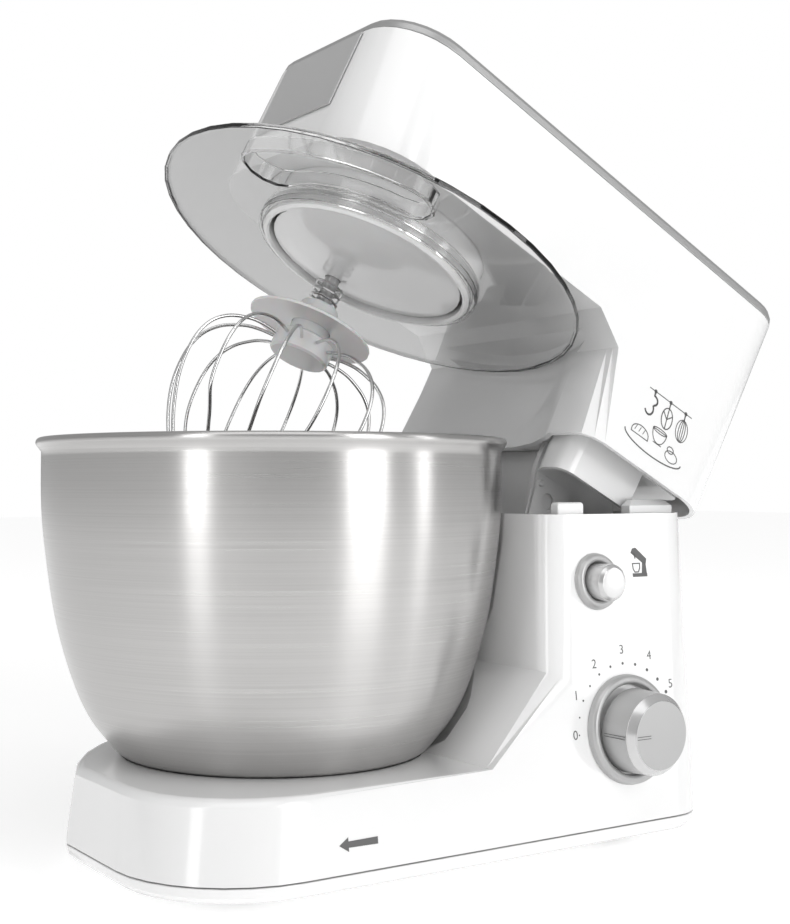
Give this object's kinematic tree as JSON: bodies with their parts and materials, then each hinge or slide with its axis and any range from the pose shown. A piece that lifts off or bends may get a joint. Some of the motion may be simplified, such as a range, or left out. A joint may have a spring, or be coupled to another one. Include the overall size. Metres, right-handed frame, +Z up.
{
  "type": "stand mixer",
  "caption": "Tilt-head stand mixer with a steel bowl on a turn-lock seat, a wire whisk on a planetary drive, a clear splash guard, a speed dial and a head release button.",
  "frame": {"origin": "centre of the bounding box in plan, at the underside of the feet", "axes": "+Z up, -X towards the nose of the head, +X towards the hinge column, -Y towards the side with the speed dial"},
  "size_m": [0.4028, 0.2326, 0.3971],
  "materials": {
    "white_plastic": "glossy moulded plastic",
    "silver_plastic": "satin silver-grey paint on plastic",
    "stainless": "spun and brushed",
    "steel": "plain zinc-plated steel",
    "clear_plastic": "clear polished plastic",
    "rubber": "matte",
    "nylon": "natural moulded nylon",
    "copper": "lacquered winding",
    "board": "printed circuit board"
  },
  "bodies": {
    "base": {"base_housing": "white_plastic", "base_plate": "white_plastic", "rubber_foot_1": "rubber", "rubber_foot_2": "rubber", "rubber_foot_3": "rubber", "rubber_foot_4": "rubber", "base_screw_1": "steel", "base_screw_2": "steel", "base_screw_3": "steel", "base_screw_4": "steel", "bowl_seat": "white_plastic", "knob_bezel": "silver_plastic", "button_bezel": "silver_plastic", "control_board": "board", "button_plate": "white_plastic", "hinge_pin": "steel", "hinge_block_near": "steel", "hinge_block_far": "steel", "hinge_spring": "steel", "cord_gland": "rubber"},
    "knob": {"speed_knob": "silver_plastic"},
    "button": {"release_button": "silver_plastic", "lock_catch": "white_plastic", "button_spring": "steel"},
    "bowl_body": {"bowl": "stainless", "bowl_foot_ring": "stainless"},
    "head": {"head_housing": "white_plastic", "top_cover": "silver_plastic", "nose_panel": "silver_plastic", "neck_skirt": "white_plastic", "hinge_arm": "steel", "latch_plate": "steel", "gear_housing": "white_plastic", "ring_gear": "white_plastic", "carrier_bush": "nylon", "motor_stator": "copper", "motor_bracket": "steel", "drive_belt": "rubber"},
    "rotor": {"motor_rotor": "copper", "motor_pulley": "nylon", "cooling_fan": "nylon"},
    "layshaft_body": {"layshaft": "steel", "belt_pulley": "nylon", "layshaft_pinion": "nylon"},
    "carrier": {"planet_plate": "white_plastic", "carrier_shaft": "steel", "main_gear": "nylon"},
    "spindle": {"tool_spindle": "steel", "planet_pinion": "nylon", "drive_pin": "steel", "tool_spring": "steel"},
    "whisk": {"whisk_hub": "white_plastic", "whisk_shield": "clear_plastic", "whisk_wire_1": "stainless", "whisk_wire_2": "stainless", "whisk_wire_3": "stainless", "whisk_wire_4": "stainless", "whisk_wire_5": "stainless", "whisk_wire_6": "stainless"},
    "guard": {"splash_guard": "clear_plastic"}
  },
  "joints": [
    {"name": "head_tilt", "type": "hinge", "parent": "base", "child": "head", "pos_m": [0.10134, 0.00382, 0.1359], "axis": [0, -1, 0], "range_deg": [0, 27.07]},
    {"name": "guard_turn", "type": "hinge", "parent": "head", "child": "guard", "pos_m": [-0.03296, 0.00382, 0.29062], "axis": [0.4551, 0, 0.8905], "range_deg": [-15, 15]},
    {"name": "motor_spin", "type": "hinge", "parent": "head", "child": "rotor", "pos_m": [0.1006, 0.00382, 0.22236], "axis": [0.4551, 0, 0.8905], "continuous": true},
    {"name": "layshaft_spin", "type": "hinge", "parent": "head", "child": "layshaft_body", "pos_m": [0.008, 0.00382, 0.26968], "axis": [0.4551, 0, 0.8905], "continuous": true},
    {"name": "carrier_spin", "type": "hinge", "parent": "head", "child": "carrier", "pos_m": [-0.03296, 0.00382, 0.29062], "axis": [0.4551, 0, 0.8905], "continuous": true},
    {"name": "spindle_spin", "type": "hinge", "parent": "carrier", "child": "spindle", "pos_m": [-0.02961, 0.03963, 0.28891], "axis": [0.4551, 0, 0.8905], "continuous": true},
    {"name": "whisk_push", "type": "slide", "parent": "spindle", "child": "whisk", "axis": [0.4551, 0, 0.8905], "range_m": [0, 0.005], "stiffness_N_per_m": 600, "springref_m": -0.004, "deforming": ["tool_spring"]},
    {"name": "bowl_turn", "type": "hinge", "parent": "base", "child": "bowl_body", "pos_m": [-0.08866, 0.00382, 0.0465], "axis": [0, 0, 1], "range_deg": [0, 35]},
    {"name": "knob_turn", "type": "hinge", "parent": "base", "child": "knob", "pos_m": [0.05134, -0.09433, 0.0592], "axis": [0, 1, 0], "range_deg": [0, 150]},
    {"name": "button_push", "type": "slide", "parent": "base", "child": "button", "axis": [0, 1, 0], "range_m": [0, 0.0035], "stiffness_N_per_m": 900, "springref_m": -0.002, "deforming": ["button_spring"]}
  ],
  "couplings": [
    {"joint": "layshaft_spin", "follows": "motor_spin", "ratio": 0.25},
    {"joint": "carrier_spin", "follows": "motor_spin", "ratio": -0.069444},
    {"joint": "spindle_spin", "follows": "motor_spin", "ratio": 0.31944}
  ]
}
